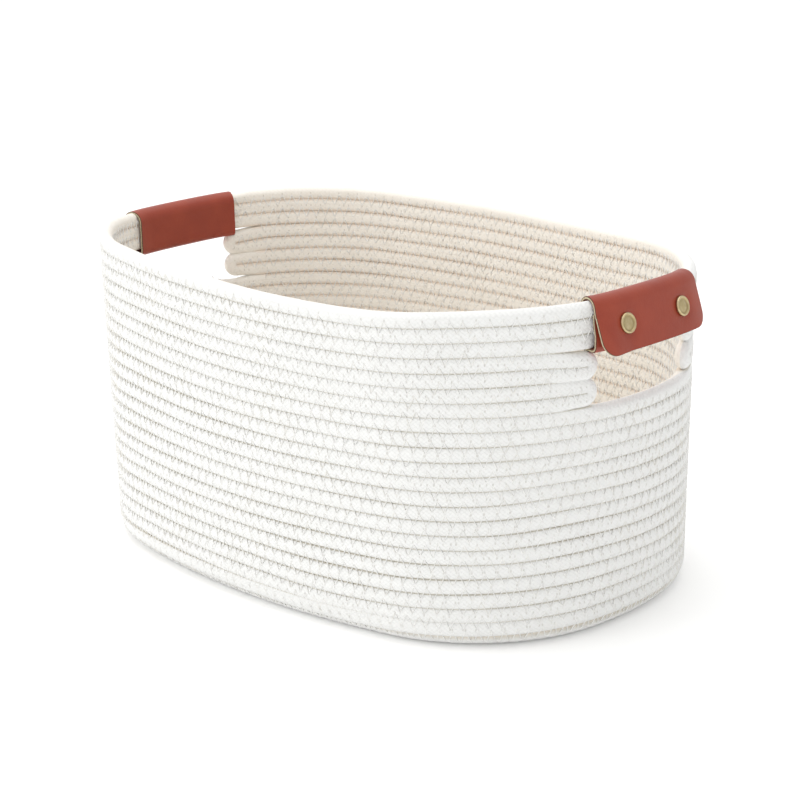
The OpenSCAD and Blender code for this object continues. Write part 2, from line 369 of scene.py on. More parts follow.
# A rope's section: places up its outer face, and the same on a free round side.
FACE_Y = np.array([-1.0, -0.88, -0.66, -0.36, 0.0, 0.36, 0.66, 0.88, 1.0])
FREE_A = np.radians([-88, -64, -41, -20, 0, 20, 41, 64, 88])
SIDE_POINTS = len(FACE_Y)
GROOVE_DEPTH, GROOVE_POWER = 0.0008, 2.8
SWELLS = [(0.012, 71.0), (0.010, 173.0)]  # uneven thickness: share, radians per metre
FLOOR_SEAM = 0.7 * PITCH  # the painted groove shade mostly fades out within this distance of the seam at the floor, on the outer face


def rope_face(y):
    """How far out a pressed rope's surface lies, at y from its middle."""
    return ROPE_T / 2 - GROOVE_DEPTH * np.abs(y / (PITCH / 2)) ** GROOVE_POWER


def rope_sections(free_up, free_down):
    """Points round each section, out through the wall and up along it, and how deep each lies in
    a groove. A side that touches the next row is pressed flat, and a free side stays round."""
    y_pressed = PITCH / 2 * FACE_Y
    x_pressed = rope_face(y_pressed)
    x_free = ROPE_T / 2 * np.cos(FREE_A)
    y_free = PITCH / 2 * np.sin(FREE_A)
    free = np.where(FREE_A > 0, free_up[:, None], free_down[:, None])
    x = x_pressed + free * (x_free - x_pressed)
    y = y_pressed + free * (y_free - y_pressed)
    outer = np.stack([x, y], axis=-1)
    inner = np.stack([-x, y], axis=-1)[:, ::-1]
    groove = np.abs(FACE_Y) * (1 - free)
    return np.concatenate([outer, inner], axis=1), np.concatenate([groove, groove[:, ::-1]], axis=1)


def add_rope(shape, s, q, heading, free_up, free_down, holes, closed=False, up=1.0, down=1.0):
    """Adds a rope whose middle follows (s, q). heading is the path's slope on the layer, holes
    are the stitches counted along the seams above and below, and up and down shrink the section
    on that side."""
    count = len(s)
    place, away, rise = layer(s, q)
    along = np.cross(rise, away)
    side = rise * np.cos(heading)[:, None] - along * np.sin(heading)[:, None]
    section, groove = rope_sections(np.broadcast_to(free_up, count),
                                    np.broadcast_to(free_down, count))
    length = run_length(np.vstack([place, place[:1]]))
    swell = 1 + sum(share * np.sin(length[:-1] * waves) for share, waves in SWELLS)
    x = section[..., 0] * swell[:, None]
    y = section[..., 1]
    shrink_up = np.broadcast_to(up, count)[:, None]
    shrink_down = np.broadcast_to(down, count)[:, None]
    y = np.where(y > 0, y * shrink_up, y * shrink_down)
    points = place[:, None] + x[..., None] * away[:, None] + y[..., None] * side[:, None]
    half_round = np.linspace(0.0, 0.5, SIDE_POINTS)
    across = np.concatenate([half_round, 0.5 + half_round, [1.0]])
    lines = count + 1 if closed else count
    uv = np.stack(np.broadcast_arrays(length[:lines, None], across[None, :]), axis=-1)
    inside = np.broadcast_to(np.repeat([0.0, 1.0], SIDE_POINTS), groove.shape)
    hole_a = np.broadcast_to(holes[0][:, None], groove.shape)
    hole_b = np.broadcast_to(holes[1][:, None], groove.shape)
    off_middle = np.broadcast_to(np.tile(np.abs(FACE_Y), 2), groove.shape)
    # The painted groove shade is mostly taken off near the seam at the floor, on the outer face.
    at_floor = np.exp(-((q[:, None] + y) / FLOOR_SEAM) ** 2) * (1 - inside)
    marks = np.stack([groove * (1 - 0.85 * at_floor), inside, hole_a, hole_b, off_middle], axis=-1)
    start = shape.grid(points, uv, True, closed, marks, flip=True)
    if not closed:
        ring = 2 * SIDE_POINTS
        shape.cap(start, ring, flip=False)
        shape.cap(start + (count - 1) * ring, ring, flip=True)


# How the thread runs over one crossing: share of the crossing, and height over the rope.
CROSSING_T = np.array([0.0, 0.13, 0.30, 0.50, 0.70, 0.87])
CROSSING_H = np.array([-0.00045, 0.00010, 0.00016, 0.00048, 0.00016, 0.00010])


def seam_length(turns, row):
    """Distance along the line midway between rows, at each of its points."""
    s = turns - np.floor(turns)
    place, _, _ = layer(s, row_q(row, s))
    return run_length(place)


def add_zigzag(shape, turns, row, side):
    """Adds a zigzag thread over a seam. turns and row give the seam's line, and side is 1 on the
    outer face of the rope layer and -1 on the inner one."""
    length = seam_length(turns, row)
    crossings = int(length[-1] / (STITCH / 2))
    hole_shift = rng.uniform(-HOLE_SHIFT, HOLE_SHIFT, crossings + 1)
    hole_reach = rng.uniform(*HOLE_REACH, crossings + 1) * STITCH_REACH
    way = np.where(np.arange(crossings + 1) % 2 == 0, 1.0, -1.0)
    i = np.repeat(np.arange(crossings), len(CROSSING_T))
    t = np.tile(CROSSING_T, crossings)
    run = (i + t) * STITCH / 2 + hole_shift[i] * (1 - t) + hole_shift[i + 1] * t
    y = way[i] * hole_reach[i] * (1 - t) + way[i + 1] * hole_reach[i + 1] * t
    at = np.interp(run, length, turns)
    k = np.interp(run, length, row)
    add_thread(shape, at, k, y, side, np.tile(CROSSING_H, crossings))


def add_thread(shape, turns, row, y, side, height):
    """Adds a thread of triangular section that runs y up from the seam and height over the rope."""
    s = turns - np.floor(turns)
    place, away, _ = layer(s, row_q(row, s) + y)
    out = rope_face(PITCH / 2 - np.abs(y)) + height
    line = place + side * out[:, None] * away
    tangent = unit(np.gradient(line, axis=0))
    across = unit(np.cross(tangent, away))
    top = np.cross(across, tangent)
    corners = [math.radians(a) for a in (90, 210, 330)]
    points = np.stack([
        line + THREAD_R * (math.cos(a) * across + math.sin(a) * side * top) for a in corners
    ], axis=1)
    run = np.arange(len(line)) * STITCH / 2 / len(CROSSING_T)
    around = np.linspace(0, 1, len(corners) + 1)
    uv = np.stack(np.broadcast_arrays(run[:, None], around[None, :]), axis=-1)
    start = shape.grid(points, uv, True, flip=side > 0)
    shape.cap(start, len(corners), flip=side < 0)
    shape.cap(start + (len(line) - 1) * len(corners), len(corners), flip=side > 0)


# ---------------------------------------------------------------- node materials

class Surface:
    """A material with one Principled shader, and short calls to add nodes to it."""

    def __init__(self, name, **values):
        self.material = bpy.data.materials.new(name)
        self.material.use_nodes = True
        self.tree = self.material.node_tree
        self.shader = self.tree.nodes["Principled BSDF"]
        for socket, value in values.items():
            self.shader.inputs[socket.replace("_", " ")].default_value = value

    def put(self, value, socket):
        if isinstance(value, bpy.types.NodeSocket):
            self.tree.links.new(value, socket)
        else:
            socket.default_value = value

    def node(self, kind, output, inputs=(), **settings):
        made = self.tree.nodes.new(kind)
        for key, value in settings.items():
            setattr(made, key, value)
        for key, value in dict(inputs).items():
            self.put(value, made.inputs[key])
        return made.outputs[output]

    def math(self, operation, a, b=0.0, clamp=False):
        return self.node("ShaderNodeMath", 0, {0: a, 1: b}, operation=operation, use_clamp=clamp)

    def mark(self, name):
        return self.node("ShaderNodeAttribute", "Fac", attribute_name=name)

    def noise(self, place, scale, detail=2.0, rough=0.5):
        return self.node("ShaderNodeTexNoise", 0,
                         {"Vector": place, "Scale": scale, "Detail": detail, "Roughness": rough})

    def place(self):
        return self.node("ShaderNodeTexCoord", "Object")

    def ramp(self, value, strand_gap_shade, high, to_low=0.0, to_high=1.0):
        return self.node("ShaderNodeMapRange", 0,
                         {"Value": value, "From Min": strand_gap_shade, "From Max": high,
                          "To Min": to_low, "To Max": to_high}, interpolation_type="SMOOTHSTEP")

    def mix(self, share, a, b):
        made = self.tree.nodes.new("ShaderNodeMix")
        made.data_type = "RGBA"
        self.put(share, made.inputs[0])
        self.put(a, made.inputs[6])
        self.put(b, made.inputs[7])
        return made.outputs[2]

    def bump(self, height, distance, strength=1.0, under=None):
        inputs = {"Height": height, "Distance": distance, "Strength": strength}
        if under is not None:
            inputs["Normal"] = under
        return self.node("ShaderNodeBump", 0, inputs)

    def finish(self, colour, roughness, normal):
        self.put(colour, self.shader.inputs["Base Color"])
        self.put(roughness, self.shader.inputs["Roughness"])
        self.put(normal, self.shader.inputs["Normal"])
        return self.material


STRANDS = 9.0  # strands each way round the braid
YARNS = 3  # yarns in one strand
ROPE_ROUND = 0.0245  # distance round the rope


def braid_strand(m, turns):
    """How high a strand stands across its width, with its yarns on it."""
    strand = m.math("SINE", m.math("MULTIPLY", m.math("FRACT", turns), math.pi))
    yarns = m.math("ABSOLUTE", m.math("SINE", m.math("MULTIPLY", turns, YARNS * math.pi)))
    return m.math("ADD", strand, m.math("MULTIPLY", yarns, 0.3))


def rope_material():
    """Braided cotton: crossing diagonal strands of fine yarn, with painted shade in the gaps between
    strands, tan painted shade in the grooves between rows and grey-brown painted shade at the needle
    holes; the inner face is painted warmer and brighter, for light thrown about inside the basket."""
    m = Surface("braided_cotton", Sheen_Weight=0.25, Sheen_Roughness=0.5, Specular_IOR_Level=0.2)
    split = m.tree.nodes.new("ShaderNodeSeparateXYZ")
    m.put(m.node("ShaderNodeTexCoord", "UV"), split.inputs[0])
    along = m.math("MULTIPLY", split.outputs[0], STRANDS / ROPE_ROUND)
    around = m.math("MULTIPLY", split.outputs[1], STRANDS)
    one = m.math("ADD", along, around)
    two = m.math("SUBTRACT", along, around)
    cells = m.math("ADD", m.math("FLOOR", one), m.math("FLOOR", two))
    over = m.math("PINGPONG", cells, 1.0)
    weave = m.math("ADD", m.math("MULTIPLY", over, braid_strand(m, one)),
                   m.math("MULTIPLY", m.math("SUBTRACT", 1.0, over), braid_strand(m, two)))

    place = m.place()
    fuzz = m.noise(place, 1500.0, 3.0, 0.7)
    patch = m.noise(place, 55.0, 2.0)

    groove = m.mark("groove")
    inside = m.mark("inside")
    # Painted shade in the grooves between rows, reaching wider on the inner face.
    groove_shade = m.ramp(groove, m.math("SUBTRACT", 0.82, m.math("MULTIPLY", inside, 0.34)), 1.0)
    # Painted shade in the needle holes: grey-brown dots where the thread goes into the rope, weaker
    # in some places; the same mask also dents the bump.
    hole = m.math("ADD", hole_dot(m, "hole_a"), hole_dot(m, "hole_b"), clamp=True)
    hole = m.math("MULTIPLY", hole, m.ramp(m.mark("across"), 0.24, 0.06))
    hole = m.math("MULTIPLY", hole, m.ramp(m.noise(place, 170.0, 1.0), 0.35, 0.62))

    # Lit and shaded colours of the rope (the shaded one also serves its uneven patches) and the tan
    # of the painted groove shade; on the inner face all three are painted warmer and brighter,
    # standing in for light thrown about inside the basket.
    light = m.mix(inside, (0.86, 0.86, 0.845, 1), (0.965, 0.925, 0.855, 1))
    shade = m.mix(inside, (0.81, 0.808, 0.785, 1), (0.93, 0.865, 0.775, 1))
    tan = m.mix(inside, (0.73, 0.695, 0.60, 1), (0.90, 0.77, 0.64, 1))
    # Painted shade: darker in the gaps between the braid's strands.
    strand_gap_shade = m.math("MULTIPLY", m.ramp(weave, 0.75, 0.1), 0.5)
    colour = m.mix(strand_gap_shade, light, shade)
    colour = m.mix(m.math("MULTIPLY", m.ramp(patch, 0.35, 0.75), 0.25), colour, shade)
    # Painted groove shade: tan where the rows meet.
    colour = m.mix(m.math("MULTIPLY", groove_shade, 0.8), colour, tan)
    # Painted needle-hole shade.
    colour = m.mix(m.math("MULTIPLY", hole, 0.32), colour, (0.45, 0.41, 0.33, 1))
    height = m.math("ADD", weave, m.math("MULTIPLY", fuzz, 0.5))
    height = m.math("SUBTRACT", height, m.math("MULTIPLY", hole, 1.5))
    return m.finish(colour, m.ramp(fuzz, 0.2, 0.8, 0.82, 0.95), m.bump(height, 0.00015))


def hole_dot(m, mark):
    """1 where the mark is a whole number, falling off along the rope."""
    part = m.math("FRACT", m.math("ADD", m.mark(mark), 0.5))
    off = m.math("ABSOLUTE", m.math("SUBTRACT", part, 0.5))
    return m.ramp(off, 0.075, 0.03)


def thread_material():
    """Twisted white sewing thread."""
    m = Surface("sewing_thread", Sheen_Weight=0.2, Specular_IOR_Level=0.35)
    place = m.place()
    ply = m.node("ShaderNodeTexWave", 1, {"Vector": place, "Scale": 420.0, "Distortion": 1.5},
                 bands_direction="DIAGONAL")
    soil = m.noise(place, 60.0, 2.0)
    colour = m.mix(m.ramp(soil, 0.35, 0.8), (0.93, 0.925, 0.905, 1), (0.87, 0.85, 0.80, 1))
    return m.finish(colour, m.ramp(soil, 0.3, 0.7, 0.55, 0.7), m.bump(ply, 0.0001))


def leather_material(name, light, dark, rough_low, rough_high, grain_depth, coat):
    """Leather with fine pebble grain, soft mottling and small creases."""
    m = Surface(name, Coat_Weight=coat, Coat_Roughness=0.30, Specular_IOR_Level=0.35)
    place = m.place()
    pebble = m.node("ShaderNodeTexVoronoi", 0, {"Vector": place, "Scale": 1300.0},
                    feature="SMOOTH_F1")
    fine = m.noise(place, 2600.0, 3.0, 0.6)
    mottle = m.noise(place, 45.0, 4.0, 0.6)
    wear = m.noise(place, 160.0, 3.0, 0.6)
    colour = m.mix(m.ramp(mottle, 0.3, 0.7), dark, light)
    colour = m.mix(m.math("MULTIPLY", m.ramp(pebble, 0.3, 0.75), 0.2), colour, dark)
    grain = m.math("ADD", m.math("MULTIPLY", pebble, -0.7), m.math("MULTIPLY", fine, 0.35))
    creases = m.bump(wear, 0.0003, 0.5)
    roughness = m.ramp(m.math("ADD", mottle, m.math("MULTIPLY", fine, 0.3)), 0.35, 0.85,
                       rough_low, rough_high)
    return m.finish(colour, roughness, m.bump(grain, grain_depth, 0.6, creases))


def edge_material(name, light, dark):
    """The cut or painted edge of the leather."""
    m = Surface(name, Specular_IOR_Level=0.3)
    place = m.place()
    fibre = m.noise(place, 1200.0, 4.0, 0.7)
    blotch = m.noise(place, 150.0, 2.0)
    colour = m.mix(m.ramp(fibre, 0.3, 0.7), light, dark)
    return m.finish(colour, m.ramp(blotch, 0.3, 0.7, 0.6, 0.8), m.bump(fibre, 0.0001))


def brass_material():
    """Antique brass: browner in the recess, with fine scratches and uneven polish."""
    m = Surface("antique_brass", Metallic=1.0)
    place = m.place()
    recess = m.mark("groove")
    cloud = m.noise(place, 420.0, 3.0, 0.6)
    stretched = m.node("ShaderNodeMapping", 0, {"Vector": place, "Scale": (1.0, 1.0, 14.0)})
    scratch = m.noise(stretched, 900.0, 3.0, 0.6)
    colour = m.mix(m.ramp(cloud, 0.3, 0.75), (0.52, 0.42, 0.22, 1), (0.64, 0.54, 0.34, 1))
    colour = m.mix(m.math("MULTIPLY", recess, 0.65), colour, (0.30, 0.22, 0.10, 1))
    roughness = m.ramp(m.math("ADD", cloud, m.math("MULTIPLY", scratch, 0.5)), 0.5, 1.1, 0.30, 0.46)
    return m.finish(colour, roughness, m.bump(scratch, 0.00006, 0.5))


def floor_material():
    """A plain pale floor, a little lifted so that only the contact shadow shows."""
    m = Surface("pale_floor", Specular_IOR_Level=0.1, Emission_Color=(1.0, 1.0, 0.995, 1),
                Emission_Strength=0.10)
    grain = m.noise(m.place(), 3.0, 2.0)
    colour = m.mix(m.ramp(grain, 0.3, 0.7), (0.93, 0.93, 0.925, 1), (0.94, 0.94, 0.935, 1))
    return m.finish(colour, m.ramp(grain, 0.3, 0.7, 0.85, 0.9), m.bump(grain, 0.0001))


ROPE = rope_material()
THREAD = thread_material()
LEATHER = leather_material("grain_leather", (0.325, 0.050, 0.022, 1), (0.275, 0.038, 0.017, 1),
                           0.38, 0.50, 0.00010, 0.10)
FLESH = leather_material("leather_back", (0.34, 0.13, 0.08, 1), (0.25, 0.08, 0.045, 1),
                         0.75, 0.9, 0.00022, 0.0)
EDGE_DARK = edge_material("leather_edge_paint", (0.13, 0.06, 0.035, 1), (0.07, 0.03, 0.02, 1))
EDGE_CORE = edge_material("leather_edge_core", (0.62, 0.55, 0.38, 1), (0.42, 0.34, 0.22, 1))
BRASS = brass_material()


def finish_piece(piece, slot, *nodes):
    """Hangs a piece under the root body and hides the CAD nodes it stands for. slot is not used."""
    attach(piece, "root")
    if nodes:
        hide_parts(*nodes)


# ---------------------------------------------------------------- the coiled rope

WALL_TURNS = ROWS - FIRST_WALL_ROW + 1
RING_STEP = 0.0042  # from one section of the rope to the next
BASE_RING_STEP = 0.9 * RING_STEP  # the base bends more tightly
SEAM_POINTS = 260  # points in one turn of a seam
TURN_EASE = 0.01  # turns over which one turn's shape eases to the next's


def open_share(s):
    """1 over a hand opening, falling to 0 at the hairpins' tips."""
    point, _ = outline(s)
    tip = np.where(point[..., 0] * point[..., 1] < 0, TIP_NEAR, TIP_FAR)
    return smooth((tip + 0.006 - side_y(s)) / 0.01)


def seam_line(first, last):
    """Turns and rows of the seam that lies above a coil's turns first to last."""
    turns = np.linspace(first, last, int((last - first) * SEAM_POINTS) + 2)
    _, row = turn_place(turns, above=0.5)
    return turns, row


def coil_hole_phase(turns, first, last):
    """Stitches counted along the seam above these turns, and NaN where it doesn't run."""
    line, row = seam_line(first, last)
    length = seam_length(line, row)
    phase = np.interp(turns, line, length) / STITCH
    return np.where((turns >= first) & (turns <= last), phase, np.nan)


def side_phase(s):
    """Stitches counted along a seam between hairpins."""
    return np.asarray(s) * AROUND / STITCH


def no_hole(phase, spare):
    """The phase, with spare where there is no seam."""
    return np.where(np.isnan(phase), spare, phase)


def base_rope():
    """The base's rope, from the row along its middle out to the floor edge."""
    turns = np.linspace(-BASE_TURNS, 0.0, 2400)
    s, row = turn_place(turns)
    place, _, _ = layer(s, row_q(row, s))
    length = run_length(place)
    turns = np.interp(np.arange(0.0, length[-1], BASE_RING_STEP), length, turns)
    turns[-1] = 0.0
    first_end = np.linspace(-BASE_TURNS - 0.24, -BASE_TURNS, 9)[:-1]  # rounds off its first end
    turns = np.concatenate([first_end, turns])
    s, row = turn_place(turns)
    row[-1], s[-1] = ROWS + 1, 1.0
    above = no_hole(coil_hole_phase(turns, -BASE_TURNS, 0.0), 0.0) + 0.5
    below = no_hole(coil_hole_phase(turns - 1, -BASE_TURNS, 0.0), 0.5)
    reach = START_REACH + (turns + START_TURN) * PITCH
    inner = np.where(turns < -START_TURN + 0.10, 1.0, np.clip(reach / (PITCH / 2), 0.15, 1.0))
    inner = np.where(turns < -BASE_TURNS, 0.05, inner)
    shape = Shape()
    add_rope(shape, s, row_q(row, s), np.zeros(len(s)), 0.0, 0.0, (above, below), down=inner)
    finish_piece(shape.object("base_rope", [ROPE], MARKS), "rope", "base_coil")


def wall_rope():
    """The climbing coil, whose last turn is free over the hand openings and tapers to its end."""
    turns = np.linspace(0.0, WALL_TURNS, int(WALL_TURNS * AROUND / RING_STEP))
    s, row = turn_place(turns)
    s[-1], row[-1] = 1.0, FIRST_WALL_ROW
    top_turn = smooth((turns - (WALL_TURNS - 1)) / TURN_EASE)
    free_up = np.maximum(top_turn * open_share(s), smooth((turns - WALL_TURNS + 0.04) / 0.03))
    in_seam = coil_hole_phase(turns, -1.0, WALL_TURNS - 1.0)
    above = np.where(open_share(s) > 0, 0.0, side_phase(s))
    above = np.where(np.isnan(in_seam), above, in_seam) + 0.5
    below = coil_hole_phase(turns - 1, -1.0, WALL_TURNS - 1.0)
    taper = 1 - 0.75 * smooth((turns - WALL_TURNS + 0.03) / 0.03)
    shape = Shape()
    add_rope(shape, s, row_q(row, s), np.zeros(len(s)), free_up, 0.0, (above, below), up=taper)
    finish_piece(shape.object("wall_rope", [ROPE], MARKS), "rope", "wall_coil")


def rim_rope():
    """The three turns of the rim, free on top and over the hand openings, tapered at both ends."""
    first, last = ROWS - RIM_ROWS, ROWS
    turns = np.linspace(first, last, int(RIM_ROWS * AROUND / RING_STEP))
    s, row = turn_place(turns)
    s[-1], row[-1] = 1.0, 1.0
    free_up = smooth((turns - (last - 1)) / TURN_EASE)
    low_turn = 1 - smooth((turns - (first + 1)) / TURN_EASE)
    free_down = low_turn * open_share(s)
    in_seam = coil_hole_phase(turns, first, last - 1)
    above = no_hole(in_seam, 0.0) + 0.5
    below = coil_hole_phase(turns - 1, first, last - 1)
    below = np.where(np.isnan(below), np.where(open_share(s) > 0, 0.5, side_phase(s)), below)
    up = 1 - 0.9 * smooth((turns - last + 0.03) / 0.03)
    down = 1 - 0.9 * smooth((first + 0.05 - turns) / 0.05)
    shape = Shape()
    add_rope(shape, s, row_q(row, s), np.zeros(len(s)), free_up, free_down, (above, below),
             up=up, down=down)
    finish_piece(shape.object("rim_rope", [ROPE], MARKS), "rope", "rim_coil")


def side_ends(back):
    """Where the hairpins' turns are centred, at the start and end of the back or the front."""
    first = s_at_y(TIP_FAR + PITCH, right=back, back=back)
    last = s_at_y(TIP_NEAR + PITCH, right=not back, back=back)
    return first, last


def hairpin_rope(name, k, back):
    """Rows k and k + 1 along one side, as one closed loop with a tight turn at each end."""
    first, last = side_ends(back)
    count = int((last - first) * AROUND / RING_STEP)
    run = np.linspace(first, last, count)
    bend = np.radians(np.linspace(-90, 90, 13)[1:-1])
    reach = PITCH / 2 / AROUND
    s = np.concatenate([
        run, last + reach * np.cos(bend), run[::-1], first - reach * np.cos(bend)])
    q = np.concatenate([
        row_q(k + 1, run),
        row_q(k + 0.5, last) + PITCH / 2 * np.sin(bend),
        row_q(k, run[::-1]),
        row_q(k + 0.5, first) - PITCH / 2 * np.sin(bend)])
    heading = np.concatenate([
        np.zeros(count), bend + math.pi / 2, np.full(count, math.pi), bend + 1.5 * math.pi])
    if k == HAIRPIN_ROWS[0]:
        q = q - TIP_DUCK * (1 - smooth((last - s) * AROUND / TIP_DUCK_LENGTH))
    to_tip = np.minimum(s - first, last - s) * AROUND
    free = 1 - smooth(to_tip / TIP_ROUND_LENGTH)
    phase = side_phase(s)
    shape = Shape()
    add_rope(shape, s, q, heading, 0.0, free, (phase + 0.5, phase), closed=True)
    return shape.object(name, [ROPE], MARKS)


def hairpins():
    for side, back in (("front", False), ("back", True)):
        for level, k in zip(("upper", "lower"), HAIRPIN_ROWS):
            name = f"{side}_{level}_hairpin"
            finish_piece(hairpin_rope(f"{name}_rope", k, back), "rope", name)


# ---------------------------------------------------------------- the sewing thread

FACES = {"outer": 1, "inner": -1}
BASE_SEAM_START = 0.7  # turns from the base rope's start to its first stitch


def wall_threads():
    for face, side in FACES.items():
        shape = Shape()
        add_zigzag(shape, *seam_line(-1.0, WALL_TURNS - 1.0), side)
        finish_piece(shape.object(f"wall_{face}_thread", [THREAD]), "thread", "wall_thread")


def base_thread():
    shape = Shape()
    for side in FACES.values():
        add_zigzag(shape, *seam_line(BASE_SEAM_START - BASE_TURNS, -1.0), side)
    finish_piece(shape.object("base_thread", [THREAD]), "thread")


def rim_thread():
    shape = Shape()
    for side in FACES.values():
        add_zigzag(shape, *seam_line(ROWS - RIM_ROWS, ROWS - 1.0), side)
    finish_piece(shape.object("rim_seam_thread", [THREAD]), "thread", "rim_thread")


def side_threads():
    """Zigzags over the hairpins. Those between two hairpins stop short of their tips."""
    shape = Shape()
    lobe_seams = [k + 0.5 for k in HAIRPIN_ROWS]
    for back in (False, True):
        first, last = side_ends(back)
        for k in np.arange(RIM_ROWS + 0.5, FIRST_WALL_ROW):
            margin = (0.0 if k in lobe_seams else 2 * PITCH) / AROUND
            holes = math.ceil(side_phase(first + margin))
            start = holes * STITCH / AROUND
            s = np.linspace(start, last - margin, 200)
            turns = s + math.floor(ROWS - k)
            for side in FACES.values():
                add_zigzag(shape, turns, np.full(len(s), k), side)
    finish_piece(shape.object("side_seam_thread", [THREAD]), "thread", "side_thread")


# ---------------------------------------------------------------- the leather grips

ROPE_PLAY = 0.0005
INNER_PLY_X = -ROPE_T - sum(LEAN) * 2.5 * PITCH / HEIGHT - ROPE_PLAY
FOLD_BOTTOM = HEIGHT - RIM_ROWS * PITCH - ROPE_PLAY
FOLD_R = 0.002
TUCK_TOP = FOLD_BOTTOM + 0.018
TUCK_BULGE = [(0.0031, FOLD_BOTTOM + 0.007), (0.0019, TUCK_TOP - 0.006), (0.0012, TUCK_TOP)]
RIVET_Z = HEIGHT - 1.5 * PITCH - 0.0012
FLAP_X = 0.0046  # the flap's middle at the rivets
FLAP_SWING = math.radians(15.5)  # how far the flap swings out from upright
FLAP_BOTTOM = FOLD_BOTTOM - LEATHER_T - 0.0004
FLAP_FLARE = 0.0046  # one lower corner stands out this far
RIVET_DENT = 0.0004  # the caps' edges press in this far
LEFT_TILT = (0.05 * PITCH, 0.12 * PITCH / (2 * GRIP_HALF))  # the left grip's rise and slope


def arc(cx, cz, r, start, end, steps):
    a = np.radians(np.linspace(start, end, steps))
    return np.column_stack([cx + r * np.cos(a), cz + r * np.sin(a)])


def even(line, step):
    """The same line through evenly spaced points."""
    length = run_length(line)
    at = np.linspace(0.0, length[-1], int(length[-1] / step) + 1)
    return np.column_stack([np.interp(at, length, line[:, i]) for i in (0, 1)])


def grip_line():
    """The middle of the leather in a cut across the rim: x out from the rim's outline, and z.
    It runs from the flap's lower edge over the rim, down inside, under it and up behind the flap."""
    half = LEATHER_T / 2
    inner = INNER_PLY_X - half
    top = HEIGHT + ROPE_PLAY + half
    swing_x, swing_z = math.cos(FLAP_SWING), math.sin(FLAP_SWING)
    top_r = (swing_x * (FLAP_X - inner) + swing_z * (RIVET_Z - top)) / (1 + swing_x - swing_z)
    fold_c = np.array([inner + top_r, top - top_r])
    shoulder = fold_c + top_r * np.array([swing_x, swing_z])
    flap_z = np.linspace(FLAP_BOTTOM, shoulder[1], 20)[:-1]
    flap_x = shoulder[0] + (shoulder[1] - flap_z) * math.tan(FLAP_SWING)
    fold_r = FOLD_R + half
    return even(np.vstack([
        np.column_stack([flap_x, flap_z]),
        arc(*fold_c, top_r, math.degrees(FLAP_SWING), 180, 22),
        arc(inner + fold_r, FOLD_BOTTOM + FOLD_R, fold_r, 180, 270, 7),
        arc(0.0001, FOLD_BOTTOM + FOLD_R, fold_r, 270, 370, 9),
        TUCK_BULGE,
    ]), 0.0011)


def end_arc():
    """The rim's outline round the right end: distance from the end's middle, points, normals."""
    right_end = OUT_P[:, 0] > END_X
    normal = OUT_N[right_end]
    floor_line = OUT_P[right_end]
    rim = floor_line + (lean_at(normal) - end_flat(floor_line, HEIGHT))[:, None] * normal
    order = np.argsort(rim[:, 1])
    rim = rim[order]
    along = run_length(rim)
    along -= np.interp(0.0, rim[:, 1], along)
    tangent = unit(np.gradient(rim, axis=0))
    return along, rim, np.column_stack([tangent[:, 1], -tangent[:, 0]])


END_U, END_P, END_N = end_arc()


def on_end(x, y_along, z, side, tilt):
    """Points x out from the rim's outline, y_along round it from the end's middle. side is 1 on
    the right end and -1 on the left; tilt is (rise, slope): how far the grip stands above the
    even rim, and how much it rises towards the back."""
    place = [np.interp(y_along, END_U, END_P[:, i]) + x * np.interp(y_along, END_U, END_N[:, i])
             for i in (0, 1)]
    y = side * place[1]
    return np.stack([side * place[0], y, z + tilt[0] + tilt[1] * y], axis=-1)


def grip(name, node, side, tilt):
    """One strap: both faces over a grid of points round its section and along the rim."""
    line = grip_line()
    tangent = unit(np.gradient(line, axis=0))
    outward = np.column_stack([tangent[:, 1], -tangent[:, 0]])
    length = run_length(line)
    ease = np.linspace(0, math.pi / 2, 9)
    corner = FLAP_CORNER_R * (1 - np.cos(ease))
    middle = np.linspace(corner[-1], 2 * GRIP_HALF - corner[-1], 33)[1:-1]
    from_left = np.concatenate([corner, middle, 2 * GRIP_HALF - corner[::-1]])
    y = from_left - GRIP_HALF
    to_edge = np.minimum(from_left, 2 * GRIP_HALF - from_left)
    cut = np.clip(FLAP_CORNER_R - to_edge, 0, None)
    skipped = FLAP_CORNER_R - np.sqrt(FLAP_CORNER_R ** 2 - cut ** 2)
    flap_end = length[np.argmax(line[:, 1])] * 0.62
    share = np.clip(1 - length / flap_end, 0.0, 1.0)
    run = length[None, :] + skipped[:, None] * share[None, :]
    line_x = np.interp(run, length, line[:, 0])
    line_z = np.interp(run, length, line[:, 1])
    out_x = np.interp(run, length, outward[:, 0])
    out_z = np.interp(run, length, outward[:, 1])

    y_all = np.broadcast_to(y[:, None], run.shape)
    near = np.minimum(np.hypot(y_all - RIVET_Y, line_z - RIVET_Z),
                      np.hypot(y_all + RIVET_Y, line_z - RIVET_Z))
    on_flap = run < flap_end
    dent = np.where(on_flap, RIVET_DENT * np.exp(-((near - 0.0058) / 0.0022) ** 2), 0.0)
    flare = np.where(on_flap, FLAP_FLARE * smooth((-y_all - 0.020) / 0.026)
                     * smooth((RIVET_Z + 0.012 - line_z) / 0.032), 0.0)
    line_x = line_x - dent + flare

    half = LEATHER_T / 2
    outer = on_end(line_x + half * out_x, y_all, line_z + half * out_z, side, tilt)
    inner = on_end(line_x - half * out_x, y_all, line_z - half * out_z, side, tilt)
    uv = np.stack(np.broadcast_arrays(y[:, None], length[None, :]), axis=-1)
    shape = Shape()
    shape.grid(outer, uv, False, slot=0)
    shape.grid(inner, uv, False, slot=1, flip=True)
    add_edges(shape, outer, inner)
    piece = shape.object(name, [LEATHER, FLESH, EDGE_DARK, EDGE_CORE])
    finish_piece(piece, "leather", node)


def border(grid):
    """The points round the edge of a grid, in order."""
    return np.concatenate([grid[:-1, 0], grid[-1, :-1], grid[:0:-1, -1], grid[0, :0:-1]])


# Lines along the cut edge: share of the way through the leather, and how far it stands out.
EDGE_LINES = [(0.0, 0.0), (0.16, 0.00014), (0.26, 0.0002),
              (0.74, 0.0002), (0.84, 0.00014), (1.0, 0.0)]
EDGE_SLOTS = [2, 2, 3, 2, 2]  # the material between each two lines


